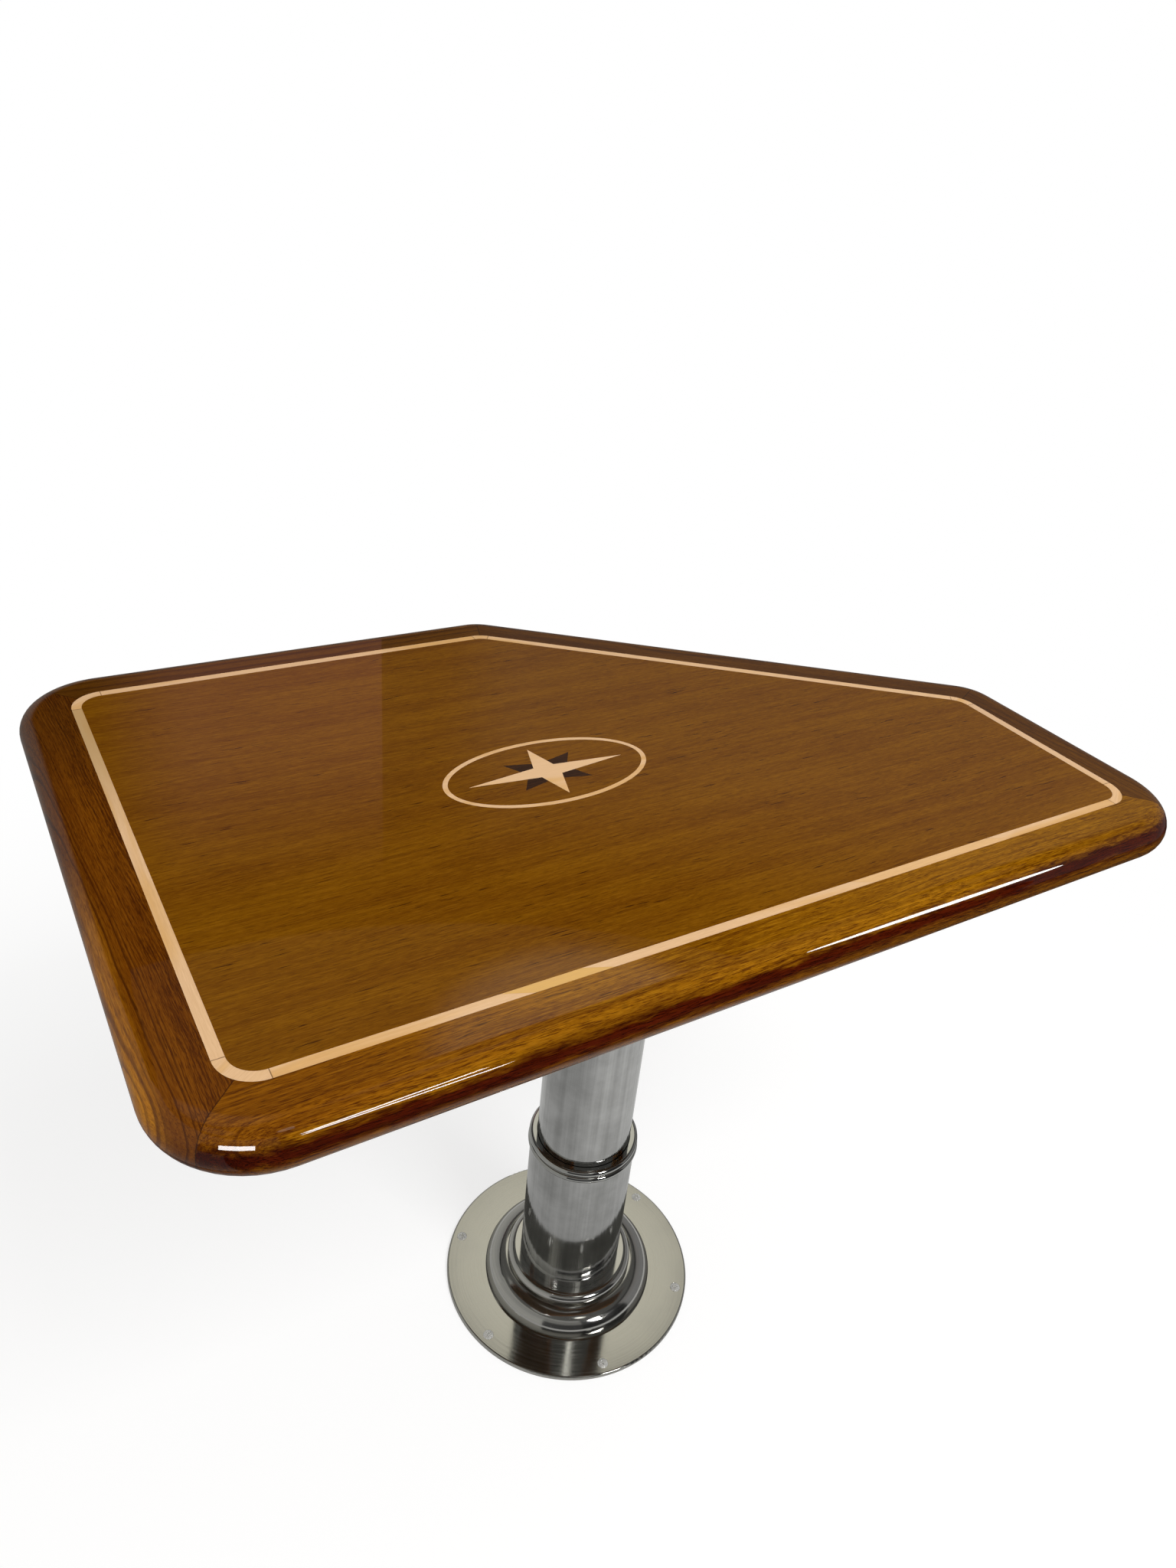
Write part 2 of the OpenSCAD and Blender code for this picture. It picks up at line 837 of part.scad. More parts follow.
// Rim board along one edge, mitred at both ends, before the area inside the rim is cut away
module rim_blank(i) {
  first = turn(i);
  last = turn(after(i));
  first_r = corner_r(i);
  last_r = corner_r(after(i));
  start_x = to_micron(first_r * tan(first / 2));
  end_x = to_micron(edge_len(i) - last_r * tan(last / 2));
  translate([corner[i][0], corner[i][1], under_z])
    rotate([0, 0, heading(i)]) {
      translate([start_x, 0, 0])
        rotate([90, 0, 90])
          linear_extrude(height = end_x - start_x)
            rim_section();
      translate([start_x, first_r, 0])
        mirror([1, 0, 0])
          half_corner(first_r, first);
      translate([end_x, last_r, 0])
        half_corner(last_r, last);
    }
}

// Rim board along one edge
module rim_board(i) {
  color(teak_rim)
    difference() {
      rim_blank(i);
      translate([0, 0, under_z - over])
        linear_extrude(height = top_thick + 2 * over)
          inside_plan(band_out_r);
    }
}

module rim_front() {
  rim_board(0);
}

module rim_right() {
  rim_board(1);
}

module rim_slanted() {
  rim_board(2);
}

module rim_back() {
  rim_board(3);
}

module rim_left() {
  rim_board(4);
}

// Straight piece of the pale band along one edge
module band_strip(i) {
  start_x = setback(i, band_centre);
  end_x = edge_len(i) - setback(after(i), band_centre);
  color(pale_wood)
    translate([corner[i][0], corner[i][1], core_z])
      rotate([0, 0, heading(i)])
        translate([start_x, rim_w, 0])
          cube([end_x - start_x, band_w, band_t]);
}

// Curved piece of the pale band at one corner
module band_corner(i) {
  mid = centre(i, band_centre);
  color(pale_wood)
    translate([mid[0], mid[1], core_z])
      rotate([0, 0, heading(before(i)) - 90])
        rotate_extrude(angle = turn(i))
          translate([band_in_r, 0])
            square([band_w, band_t]);
}

module band_front() {
  band_strip(0);
}

module band_right() {
  band_strip(1);
}

module band_slanted() {
  band_strip(2);
}

module band_back() {
  band_strip(3);
}

module band_left() {
  band_strip(4);
}

module band_corner_front_left() {
  band_corner(0);
}

module band_corner_front_right() {
  band_corner(1);
}

module band_corner_right_slanted() {
  band_corner(2);
}

module band_corner_back_slanted() {
  band_corner(3);
}

module band_corner_back_left() {
  band_corner(4);
}

base_flange();
base_screws();
foot_moulding();
lower_tube();
lower_collar();
lower_wiper();
lower_guide_bush();
lower_key_rail();
ram_rod();
ram_rod_foot();
middle_tube();
middle_collar();
middle_wiper();
middle_guide_bush();
middle_foot_bush();
middle_key_rail();
carrier_plate();
ram_middle_tube();
upper_tube();
upper_foot_bush();
ram_barrel();
ram_nut();
head_hub();
head_plate();
head_screws();
top_core();
under_veneer();
teak_panel();
rim_front();
rim_right();
rim_slanted();
rim_back();
rim_left();
band_front();
band_right();
band_slanted();
band_back();
band_left();
band_corner_front_left();
band_corner_front_right();
band_corner_right_slanted();
band_corner_back_slanted();
band_corner_back_left();
oval_ring();
star_light();
star_dark();
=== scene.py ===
import math
import bpy
import numpy as np
from mathutils import Matrix

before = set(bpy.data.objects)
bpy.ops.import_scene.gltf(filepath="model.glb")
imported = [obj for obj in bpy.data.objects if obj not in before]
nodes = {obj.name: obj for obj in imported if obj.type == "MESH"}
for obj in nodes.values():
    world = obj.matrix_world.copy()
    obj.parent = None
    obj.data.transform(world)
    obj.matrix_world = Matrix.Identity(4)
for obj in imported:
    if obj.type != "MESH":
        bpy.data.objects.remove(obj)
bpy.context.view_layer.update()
print("stage: frame loaded,", len(nodes), "nodes")


def addObject(name, data):
    thing = bpy.data.objects.new(name, data)
    bpy.context.scene.collection.objects.link(thing)
    return thing


def setPlace(thing, place, axes):  # axes: where the thing's own X, Y and Z point
    thing.matrix_world = Matrix.Translation(place) @ Matrix(axes).transposed().to_4x4()


# Camera, measured from the photograph: place and axes in the part's frame, metres
view = {
    "place": (-0.5200, -0.7176, 1.24375),
    "right": (0.85870, -0.50462, 0.08936),
    "up": (0.19805, 0.48758, 0.85031),
    "back": (-0.47266, -0.71248, 0.51863),
    "lens": 25.543,
    "sensor": 36,
    "clip": (0.02, 60),
}


def makeCamera(settings):
    data = bpy.data.cameras.new("camera")
    data.lens = settings["lens"]
    data.sensor_width = settings["sensor"]
    data.clip_start, data.clip_end = settings["clip"]
    camera = addObject("camera", data)
    setPlace(camera, settings["place"], [settings[key] for key in ("right", "up", "back")])
    bpy.context.scene.camera = camera


makeCamera(view)
print("stage: camera placed")


# Node helpers: an input is a number, a tuple or another node's socket
def addNode(tree, kind, inputs=None, **properties):
    node = tree.nodes.new(kind)
    for name, value in properties.items():
        setattr(node, name, value)
    for key, value in (inputs or {}).items():
        if isinstance(value, bpy.types.NodeSocket):
            tree.links.new(value, node.inputs[key])
        else:
            node.inputs[key].default_value = value
    return node


def addGroup(tree, group, inputs):
    return addNode(tree, "ShaderNodeGroup", inputs, node_tree=group).outputs


def calc(tree, operation, *values):
    return addNode(tree, "ShaderNodeMath", dict(enumerate(values)), operation=operation).outputs[0]


def calcVector(tree, operation, *values):
    return addNode(tree, "ShaderNodeVectorMath", dict(enumerate(values)), operation=operation).outputs


def hypotenuse(tree, first, second):
    return calc(tree, "SQRT", calc(tree, "MULTIPLY_ADD", first, first, calc(tree, "MULTIPLY", second, second)))


def ramp(tree, value, low, high, to=(0.0, 1.0)):
    limits = {0: value, 1: low, 2: high, 3: to[0], 4: to[1]}
    return addNode(tree, "ShaderNodeMapRange", limits, interpolation_type="SMOOTHSTEP").outputs[0]


def fade(tree, value, low, high):
    return ramp(tree, value, low, high, to=(1.0, 0.0))


def splitAxes(tree, vector):
    return addNode(tree, "ShaderNodeSeparateXYZ", {0: vector}).outputs


def stretch(tree, axes, scales):
    parts = [calc(tree, "MULTIPLY", axis, scale) for axis, scale in zip(axes, scales)]
    return addNode(tree, "ShaderNodeCombineXYZ", dict(enumerate(parts))).outputs[0]


def noise(tree, vector, scale=1.0, detail=2.0, roughness=0.5):
    inputs = {"Vector": vector, "Scale": scale, "Detail": detail, "Roughness": roughness}
    return addNode(tree, "ShaderNodeTexNoise", inputs).outputs


def noiseLine(tree, value, scale, detail):
    inputs = {"W": value, "Scale": scale, "Detail": detail}
    return addNode(tree, "ShaderNodeTexNoise", inputs, noise_dimensions="1D").outputs[0]


# Colours are written as three numbers, and solid adds the fourth where a socket wants it
def solid(colour):
    return (*colour, 1) if isinstance(colour, tuple) else colour


def blendColour(tree, factor, first, second, mode="MIX"):
    inputs = {0: factor, 6: solid(first), 7: solid(second)}
    return addNode(tree, "ShaderNodeMix", inputs, data_type="RGBA", blend_type=mode).outputs[2]


def addMark(tree, colour, mask, depth, mark):
    return blendColour(tree, calc(tree, "MULTIPLY", mask, depth), colour, mark)


# Each tint multiplies the colour before the end of its limits, along one or two axes
def tintColour(tree, colour, axes, tints):
    for tint, *limits in tints:
        share = 1.0
        for axis, start, end in limits:
            share = calc(tree, "MULTIPLY", share, fade(tree, axes[axis], start, end))
        colour = blendColour(tree, share, colour, tint, "MULTIPLY")
    return colour


def newGroup(name, vectors, decimals, results):
    tree = bpy.data.node_groups.new(name, "ShaderNodeTree")
    sockets = [(socket, "INPUT", "NodeSocketVector") for socket in vectors]
    sockets += [(socket, "INPUT", "NodeSocketFloat") for socket in decimals]
    sockets += [(socket, "OUTPUT", "NodeSocketFloat") for socket in results]
    for socket, side, kind in sockets:
        tree.interface.new_socket(socket, in_out=side, socket_type=kind)
    start = tree.nodes.new("NodeGroupInput")
    end = tree.nodes.new("NodeGroupOutput")
    return tree, start.outputs, end.inputs


def emptyMaterial(name):
    material = bpy.data.materials.new(name)
    material.use_nodes = True
    material.node_tree.nodes.clear()
    return material, material.node_tree


def newMaterial(name):
    material, tree = emptyMaterial(name)
    shader = addNode(tree, "ShaderNodeBsdfPrincipled")
    addNode(tree, "ShaderNodeOutputMaterial", {0: shader.outputs[0]})
    place = addNode(tree, "ShaderNodeTexCoord").outputs["Object"]
    return material, tree, shader, place


def finishShader(tree, shader, colour, roughness, height, bump):
    strength, distance = bump
    relief = addNode(tree, "ShaderNodeBump", {"Strength": strength, "Distance": distance, "Height": height})
    for socket, value in (("Base Color", colour), ("Roughness", roughness), ("Normal", relief.outputs[0])):
        tree.links.new(value, shader.inputs[socket])


# Wood as a solid texture: growth rings round a pith line, with fibres, dashes and pores drawn out along it
grainRecipe = {
    "drift": (4.0, 14.0, 14.0),  # slow wander of the grain: along, across and in depth
    "driftDetail": 3.0,
    "ringWander": (0.6, 1.0),  # scale and detail
    "seasonWander": (0.43, 2.0),
    "ringRise": (0.35, 0.88),
    "ringFall": (0.92, 1.0),
    # Length and width in metres, detail, roughness
    "drawn": {
        "fineFibre": (0.009, 0.0005, 2.0, 0.65), "longFibre": (0.040, 0.0013, 3.0, 0.68),
        "dash": (0.020, 0.0013, 1.0, 0.5), "dashCrowd": (0.11, 0.007, 2.0, 0.6), "pore": (0.007, 0.0006, 1.0, 0.5),
        "cloud": (0.24, 0.020, 2.5, 0.6), "rag": (0.022, 0.004, 3.0, 0.65),
    },
    "fineShare": 0.55,
    # From nothing to full
    "limits": {
        "fibre": (0.34, 0.66), "dash": (0.60, 0.70), "dashCrowd": (0.54, 0.64), "pore": (0.58, 0.74),
        "cloud": (0.3, 0.7), "season": (0.3, 0.7),
    },
}


def makeGrain(recipe):
    tree, given, out = newGroup(
        "woodGrain", ["Vector"], ["Turn", "Across", "Below", "Lean", "Rise", "Ring gap", "Waver", "Seed"],
        ["Ring", "Season", "Fibre", "Dash", "Pore", "Cloud", "Rag"],
    )
    back = calc(tree, "MULTIPLY", given["Turn"], -1.0)
    turned = addNode(
        tree, "ShaderNodeVectorRotate", {"Vector": given["Vector"], "Angle": back}, rotation_type="Z_AXIS"
    ).outputs[0]
    axes = splitAxes(tree, turned)
    along = calc(tree, "ADD", axes[0], given["Seed"])
    drift = noise(tree, stretch(tree, (along, axes[1], axes[2]), recipe["drift"]), detail=recipe["driftDetail"])[1]
    drifts = addNode(tree, "ShaderNodeSeparateColor", {0: drift}).outputs
    sway = [calc(tree, "MULTIPLY", calc(tree, "SUBTRACT", drifts[i], 0.5), given["Waver"]) for i in (0, 1)]
    across = calc(tree, "MULTIPLY_ADD", axes[0], given["Lean"], calc(tree, "ADD", axes[1], sway[0]))
    across = calc(tree, "SUBTRACT", across, given["Across"])
    depth = calc(tree, "MULTIPLY_ADD", axes[0], given["Rise"], calc(tree, "ADD", axes[2], sway[1]))
    depth = calc(tree, "ADD", depth, given["Below"])
    years = calc(tree, "DIVIDE", hypotenuse(tree, across, depth), given["Ring gap"])
    years = calc(tree, "ADD", years, noiseLine(tree, years, *recipe["ringWander"]))
    year = calc(tree, "FRACT", years)

    def drawn(pattern):
        length, width, detail, roughness = recipe["drawn"][pattern]
        stretched = stretch(tree, (along, across, depth), (1 / length, 1 / width, 1 / width))
        return noise(tree, stretched, detail=detail, roughness=roughness)[0]

    def limited(name, value):
        return ramp(tree, value, *recipe["limits"][name])

    longFibre = calc(tree, "MULTIPLY", drawn("longFibre"), 1 - recipe["fineShare"])
    fibre = calc(tree, "MULTIPLY_ADD", drawn("fineFibre"), recipe["fineShare"], longFibre)
    crowd = limited("dashCrowd", drawn("dashCrowd"))
    results = {
        "Ring": calc(tree, "SUBTRACT", ramp(tree, year, *recipe["ringRise"]), ramp(tree, year, *recipe["ringFall"])),
        "Season": limited("season", noiseLine(tree, years, *recipe["seasonWander"])),
        "Fibre": limited("fibre", fibre),
        "Dash": calc(tree, "MULTIPLY", limited("dash", drawn("dash")), crowd),
        "Pore": limited("pore", drawn("pore")),
        "Cloud": limited("cloud", drawn("cloud")),
        "Rag": calc(tree, "SUBTRACT", drawn("rag"), 0.5),
    }
    for name, value in results.items():
        tree.links.new(value, out[name])
    return tree


# A thin line where two pieces of wood meet: 1 on the plane through Point, square to Normal
jointRecipe = {"wanderScale": 900.0, "wanderDetail": 1.0, "edge": (0.6, 1.2)}


def makeJoint(recipe):
    tree, given, out = newGroup("jointLine", ["Vector", "Point", "Normal"], ["Width"], ["Line"])
    offset = calcVector(tree, "SUBTRACT", given["Vector"], given["Point"])[0]
    away = calcVector(tree, "DOT_PRODUCT", offset, given["Normal"])["Value"]
    wander = noise(tree, given["Vector"], scale=recipe["wanderScale"], detail=recipe["wanderDetail"])[0]
    reach = calc(tree, "MULTIPLY", given["Width"], calc(tree, "ADD", wander, 0.5))
    share = calc(tree, "DIVIDE", calc(tree, "ABSOLUTE", away), reach)
    tree.links.new(fade(tree, share, *recipe["edge"]), out["Line"])
    return tree


woodGrain = makeGrain(grainRecipe)
jointLine = makeJoint(jointRecipe)


def addJoints(tree, place, colour, joints, recipe, mark):
    for point, normal in joints:
        line = addGroup(tree, jointLine, {
            "Vector": place, "Point": point, "Normal": normal, "Width": recipe["jointWidth"],
        })
        colour = addMark(tree, colour, line[0], recipe["jointDepth"], mark)
    return colour


# Table outline in metres, the same corners as the boards' mitres
outline = [(-0.4785, -0.292), (0.4405, -0.292), (0.4405, -0.0125), (-0.0045, 0.323), (-0.4785, 0.323)]
edgeNames = ["front", "right", "slanted", "back", "left"]


def heading(index):
    first, second = outline[index], outline[(index + 1) % len(outline)]
    return math.atan2(second[1] - first[1], second[0] - first[0])


def halfTurn(index):
    return 0.5 * ((heading(index) - heading(index - 1)) % (2 * math.pi))


# The mitre plane at a corner runs along the bisector, so its normal lies between the two headings
def mitre(index):
    angle = heading(index - 1) + halfTurn(index)
    return (*outline[index], 0.0), (math.cos(angle), math.sin(angle), 0.0)


varnishDefaults = {"coat": 0.7, "coatRoughness": 0.025}


def varnish(shader, settings):
    settings = {**varnishDefaults, **settings}
    shader.inputs["Specular IOR Level"].default_value = 0.0  # only the varnish shines
    shader.inputs["Coat Weight"].default_value = settings["coat"]
    shader.inputs["Coat Roughness"].default_value = settings["coatRoughness"]
    shader.inputs["Coat IOR"].default_value = 1.5


# What all the teak has in common: limits on the fibres, and how its joints and surface are
woodRecipe = {
    "paleFibre": (0.45, 0.05), "paleShare": 0.7, "darkFibre": (0.5, 1.0), "crowdFibre": (0.52, 0.80),
    "quietSeason": 0.15, "jointWidth": 0.0004, "jointDepth": 0.7, "roughness": (0.38, 0.5), "fibreHeight": 0.4,
    "bump": (0.2, 0.0002),
}


# Painted shade on the rounded side: a darker, redder strip down it, below its top, with a ragged upper edge
def addNoseShade(tree, colour, axes, rag, settings):
    height = calc(tree, "MULTIPLY_ADD", rag, settings["rag"], axes[2])
    height = calc(tree, "MULTIPLY_ADD", axes[0], settings.get("tilt", 0.0), height)
    upper = ramp(tree, height, *settings["top"], to=(settings["depth"], 0.0))
    lower = ramp(tree, height, *settings["bottom"], to=(settings["rest"], 1.0))
    return blendColour(tree, calc(tree, "MULTIPLY", upper, lower), colour, settings["colour"], "MULTIPLY")


def woodMaterial(name, settings):
    material, tree, shader, place = newMaterial(name)
    grain = addGroup(tree, woodGrain, {
        "Vector": place, "Turn": settings["turn"], "Across": settings["across"], "Below": settings["below"],
        "Lean": settings.get("lean", 0.0), "Rise": settings.get("rise", 0.0), "Ring gap": settings["ringGap"],
        "Waver": settings["waver"], "Seed": settings["seed"],
    })
    recipe, tones, fibre, fibreDepth = woodRecipe, settings["colours"], grain["Fibre"], settings["fibreDepth"]
    axes = splitAxes(tree, place)
    colour = blendColour(tree, grain["Cloud"], tones["gold"], tones["brown"])
    pale = ramp(tree, fibre, *recipe["paleFibre"], to=(0.0, fibreDepth * recipe["paleShare"]))
    colour = blendColour(tree, pale, colour, tones["pale"])
    season = ramp(tree, grain["Season"], 0.0, 1.0, to=(recipe["quietSeason"], 1.0))
    streak = calc(tree, "MULTIPLY", grain["Ring"], season)
    colour = addMark(tree, colour, streak, settings["ringDepth"], tones["late"])
    dark = ramp(tree, fibre, *recipe["darkFibre"], to=(0.0, fibreDepth))
    colour = blendColour(tree, dark, colour, tones["late"])
    for axis, start, end, depth in settings.get("crowds", ()):  # fine dark lines get denser towards one side
        crowd = ramp(tree, axes[axis], start, end)
        lines = calc(tree, "MULTIPLY", ramp(tree, fibre, *recipe["crowdFibre"]), crowd)
        colour = addMark(tree, colour, lines, depth, tones["late"])
    colour = tintColour(tree, colour, axes, settings.get("tints", ()))
    # Painted shade down the rounded side
    if "nose" in settings:
        colour = addNoseShade(tree, colour, axes, grain["Rag"], settings["nose"])
    colour = addMark(tree, colour, grain["Dash"], settings["dashDepth"], tones["pore"])
    colour = addMark(tree, colour, grain["Pore"], settings["poreDepth"], tones["pore"])
    mitres = [mitre(index) for index in settings.get("mitres", ())]
    colour = addJoints(tree, place, colour, mitres, recipe, tones["pore"])
    height = calc(tree, "SUBTRACT", calc(tree, "MULTIPLY", fibre, recipe["fibreHeight"]), grain["Pore"])
    finishShader(tree, shader, colour, ramp(tree, fibre, 0.0, 1.0, to=recipe["roughness"]), height, recipe["bump"])
    varnish(shader, settings)
    return material


# Teak: the panel lies straight, each rim board has its own cut of the log
teakTones = {
    "panel": {"gold": (0.200, 0.074, 0.0016), "brown": (0.156, 0.052, 0.0013), "late": (0.090, 0.026, 0.0012),
              "pore": (0.028, 0.006, 0.001), "pale": (0.280, 0.112, 0.006)},
    "front": {"gold": (0.315, 0.125, 0.0018), "brown": (0.215, 0.076, 0.0014), "late": (0.070, 0.015, 0.0010),
              "pore": (0.020, 0.004, 0.001), "pale": (0.420, 0.190, 0.008)},
    "left": {"gold": (0.185, 0.054, 0.0018), "brown": (0.118, 0.030, 0.0012), "late": (0.046, 0.010, 0.0009),
             "pore": (0.014, 0.003, 0.001), "pale": (0.240, 0.082, 0.006)},
    "back": {"gold": (0.120, 0.042, 0.0020), "brown": (0.078, 0.025, 0.0016), "late": (0.036, 0.010, 0.0012),
             "pore": (0.012, 0.003, 0.001), "pale": (0.150, 0.060, 0.008)},
    # Painted shade: the underside's tones are darker and greyer than the top's, for the shadow under the top
    "under": {"gold": (0.070, 0.044, 0.024), "brown": (0.050, 0.031, 0.017), "late": (0.030, 0.017, 0.010),
              "pore": (0.012, 0.007, 0.004), "pale": (0.090, 0.058, 0.032)},
}
# Painted shade on each rounded side: the heights where the darker strip starts and ends, how dark it is and its
# colour
noseShades = {
    "front": {"top": (0.7350, 0.7430), "bottom": (0.7225, 0.7310), "depth": 0.97, "rest": 0.45, "rag": 0.014,
              "tilt": -0.008, "colour": (0.19, 0.028, 0.25)},
    "left": {"top": (0.7160, 0.7300), "bottom": (0.690, 0.695), "depth": 0.8, "rest": 1.0, "rag": 0.010,
             "colour": (0.30, 0.18, 0.35)},
    "back": {"top": (0.7300, 0.7420), "bottom": (0.690, 0.695), "depth": 0.7, "rest": 1.0, "rag": 0.010,
             "colour": (0.35, 0.22, 0.35)},
}
boards = {
    "panel_teak": {"turn": 0.0, "across": 1.6, "below": -0.55, "ringGap": 0.0072, "waver": 0.012, "seed": 1.3,
                   "ringDepth": 0.22, "fibreDepth": 0.62, "dashDepth": 0.85, "poreDepth": 0.35,
                   "colours": teakTones["panel"]},
    "rim_front_teak": {"turn": heading(0), "across": -0.16, "below": -0.64, "rise": 0.012, "ringGap": 0.0034,
                       "waver": 0.014, "seed": 3.1, "ringDepth": 0.5, "fibreDepth": 0.75, "dashDepth": 0.6,
                       "poreDepth": 0.35, "colours": teakTones["front"], "nose": noseShades["front"], "mitres": (0, 1),
                       "crowds": ((1, -0.266, -0.290, 0.55),), "coatRoughness": 0.012,
                       "tints": (((0.74, 0.60, 0.5), (0, -0.44, -0.12), (1, -0.283, -0.289)),
                                 ((0.84, 0.84, 0.6), (0, 0.40, 0.10)))},
    "rim_right_teak": {"turn": heading(1), "across": -0.36, "below": -0.66, "rise": 0.05, "ringGap": 0.0035,
                       "waver": 0.014, "seed": 5.7, "ringDepth": 0.6, "fibreDepth": 0.5, "dashDepth": 0.5,
                       "poreDepth": 0.35, "colours": teakTones["back"], "nose": noseShades["back"], "mitres": (1, 2)},
    "rim_slanted_teak": {"turn": heading(2), "across": -0.20, "below": -0.60, "lean": 0.01, "ringGap": 0.0034,
                         "waver": 0.012, "seed": 7.9, "ringDepth": 0.6, "fibreDepth": 0.5, "dashDepth": 0.5,
                         "poreDepth": 0.35, "colours": teakTones["back"], "nose": noseShades["back"], "mitres": (2, 3)},
    "rim_back_teak": {"turn": heading(3), "across": -0.26, "below": -0.64, "ringGap": 0.0036, "waver": 0.012,
                      "seed": 9.4, "ringDepth": 0.6, "fibreDepth": 0.5, "dashDepth": 0.5, "poreDepth": 0.35,
                      "colours": teakTones["back"], "nose": noseShades["back"], "mitres": (3, 4)},
    "rim_left_teak": {"turn": heading(4), "across": 0.400, "below": -0.626, "lean": -0.05, "rise": 0.012,
                      "ringGap": 0.0026, "waver": 0.016, "seed": 11.6, "ringDepth": 0.75, "fibreDepth": 0.55,
                      "dashDepth": 0.4, "poreDepth": 0.35, "colours": teakTones["left"], "nose": noseShades["left"],
                      "mitres": (4, 0), "crowds": ((0, -0.462, -0.438, 0.6),), "coatRoughness": 0.015,
                      # Painted light and shade: the first tint brightens the outer rounded side towards the front,
                      # the second darkens the board towards the back
                      "tints": (((3.2, 4.1, 3.0), (0, -0.4765, -0.4640), (1, -0.12, 0.06)),
                                ((0.72, 0.75, 0.9), (1, 0.25, 0.05)))},
    "under_teak": {"turn": 0.0, "across": 1.1, "below": -0.4, "ringGap": 0.006, "waver": 0.012, "seed": 14.2,
                   "ringDepth": 0.4, "fibreDepth": 0.4, "dashDepth": 0.4, "poreDepth": 0.3,
                   "colours": teakTones["under"], "coat": 0.35, "coatRoughness": 0.22},
}
materials = {slot: woodMaterial(slot, settings) for slot, settings in boards.items()}
print("stage: teak")

# Pale inlay: close straight grain, a few warmer lengths, a thin dark line at each butt joint
paleRecipe = {
    "grain": {"Across": 0.9, "Below": -0.5, "Ring gap": 0.0028, "Waver": 0.01},
    "pale": (0.815, 0.535, 0.300), "warm": (0.740, 0.430, 0.160), "line": (0.55, 0.30, 0.13),
    "cloud": (0.35, 1.0), "ringShare": 0.5, "insertEdge": 0.0006, "insertLine": (0.0003, 0.0012), "insertDepth": 0.35,
    "jointWidth": 0.00035, "jointDepth": 0.75, "joint": (0.12, 0.05, 0.02), "roughness": (0.35, 0.45),
    "bump": (0.15, 0.0001),
}
bandInset = 0.0732  # from the table's edge to the corner pieces' centre


def bandJoint(index, after):
    side = heading(index) if after else heading(index - 1)
    along = (math.cos(side), math.sin(side), 0.0)
    reach = bandInset * math.tan(halfTurn(index)) * (1 if after else -1)
    return (outline[index][0] + reach * along[0], outline[index][1] + reach * along[1], 0.0), along


# A length let in between slanted joints
def addInsert(tree, colour, axes, insert, recipe):
    start, end, middle, slope, tone = insert
    skewed = calc(tree, "MULTIPLY_ADD", calc(tree, "SUBTRACT", axes[1], middle), slope, axes[0])
    share = calc(tree, "MULTIPLY", ramp(tree, skewed, start, start + recipe["insertEdge"]),
                 fade(tree, skewed, end, end + recipe["insertEdge"]))
    colour = blendColour(tree, share, colour, tone)
    for edge in (start, end):
        away = calc(tree, "ABSOLUTE", calc(tree, "SUBTRACT", skewed, edge))
        line = ramp(tree, away, *recipe["insertLine"], to=(recipe["insertDepth"], 0.0))
        colour = blendColour(tree, line, colour, recipe["line"])
    return colour


def paleMaterial(name, settings):
    material, tree, shader, place = newMaterial(name)
    recipe, axes = paleRecipe, splitAxes(tree, place)
    grain = addGroup(tree, woodGrain, {
        "Vector": place, "Turn": settings["turn"], "Seed": settings["seed"], **recipe["grain"],
    })
    colour = blendColour(tree, ramp(tree, grain["Cloud"], *recipe["cloud"]), recipe["pale"], recipe["warm"])
    for insert in settings.get("inserts", ()):
        colour = addInsert(tree, colour, axes, insert, recipe)
    colour = tintColour(tree, colour, axes, settings.get("tints", ()))
    marks = calc(tree, "MAXIMUM", calc(tree, "MULTIPLY", grain["Ring"], recipe["ringShare"]), grain["Fibre"])
    colour = addMark(tree, colour, marks, settings.get("grainDepth", 0.34), recipe["line"])
    colour = addJoints(tree, place, colour, settings.get("joints", ()), recipe, recipe["joint"])
    roughness = ramp(tree, grain["Fibre"], 0.0, 1.0, to=recipe["roughness"])
    finishShader(tree, shader, colour, roughness, grain["Fibre"], recipe["bump"])
    varnish(shader, settings)
    return material


bandExtras = {
    "front": {"inserts": ((-0.244, -0.182, -0.2425, 2.6, (0.74, 0.44, 0.130)),
                          (0.060, 0.215, -0.2425, 2.2, (0.80, 0.50, 0.235)))},
    # Painted shade: the left and right lengths of the band grow darker towards the back
    "left": {"tints": (((0.66, 0.66, 0.55), (1, 0.20, 0.02)),)},
    "right": {"tints": (((0.90, 0.92, 1.0), (1, 0.0, -0.4)),)},
}
for index, edge in enumerate(edgeNames):
    slot = f"band_{edge}_pale"
    materials[slot] = paleMaterial(slot, {
        "turn": heading(index), "seed": 2.3 * index + 0.7,
        "joints": [bandJoint(index, True), bandJoint((index + 1) % len(outline), False)], **bandExtras.get(edge, {}),
    })
inlays = {
    "band_corner_pale": {"turn": 0.6, "seed": 17.0, "joints": [
        bandJoint(index, after) for index in range(len(outline)) for after in (True, False)]},
    "oval_pale": {"turn": 0.0, "seed": 21.0},
    "star_pale": {"turn": 0.0, "seed": 23.0, "grainDepth": 0.15},
}
for slot, settings in inlays.items():
    materials[slot] = paleMaterial(slot, settings)
darkStar = {
    "turn": 0.0, "across": 0.7, "below": -0.5, "ringGap": 0.003, "waver": 0.01, "seed": 4.4, "ringDepth": 0.5,
    "fibreDepth": 0.5, "dashDepth": 0.3, "poreDepth": 0.3,
    "colours": {"gold": (0.050, 0.018, 0.006), "brown": (0.034, 0.012, 0.004), "late": (0.015, 0.006, 0.003),
                "pore": (0.006, 0.003, 0.002), "pale": (0.070, 0.028, 0.010)},
}
materials["star_dark"] = woodMaterial("star_dark", darkStar)
print("stage: pale inlay and star")

# Steel: polishing marks run round the axis or along it, and handling leaves soft smears
steelDefaults = {"smearScale": 24.0, "metal": 1.0, "depth": 0.0001}


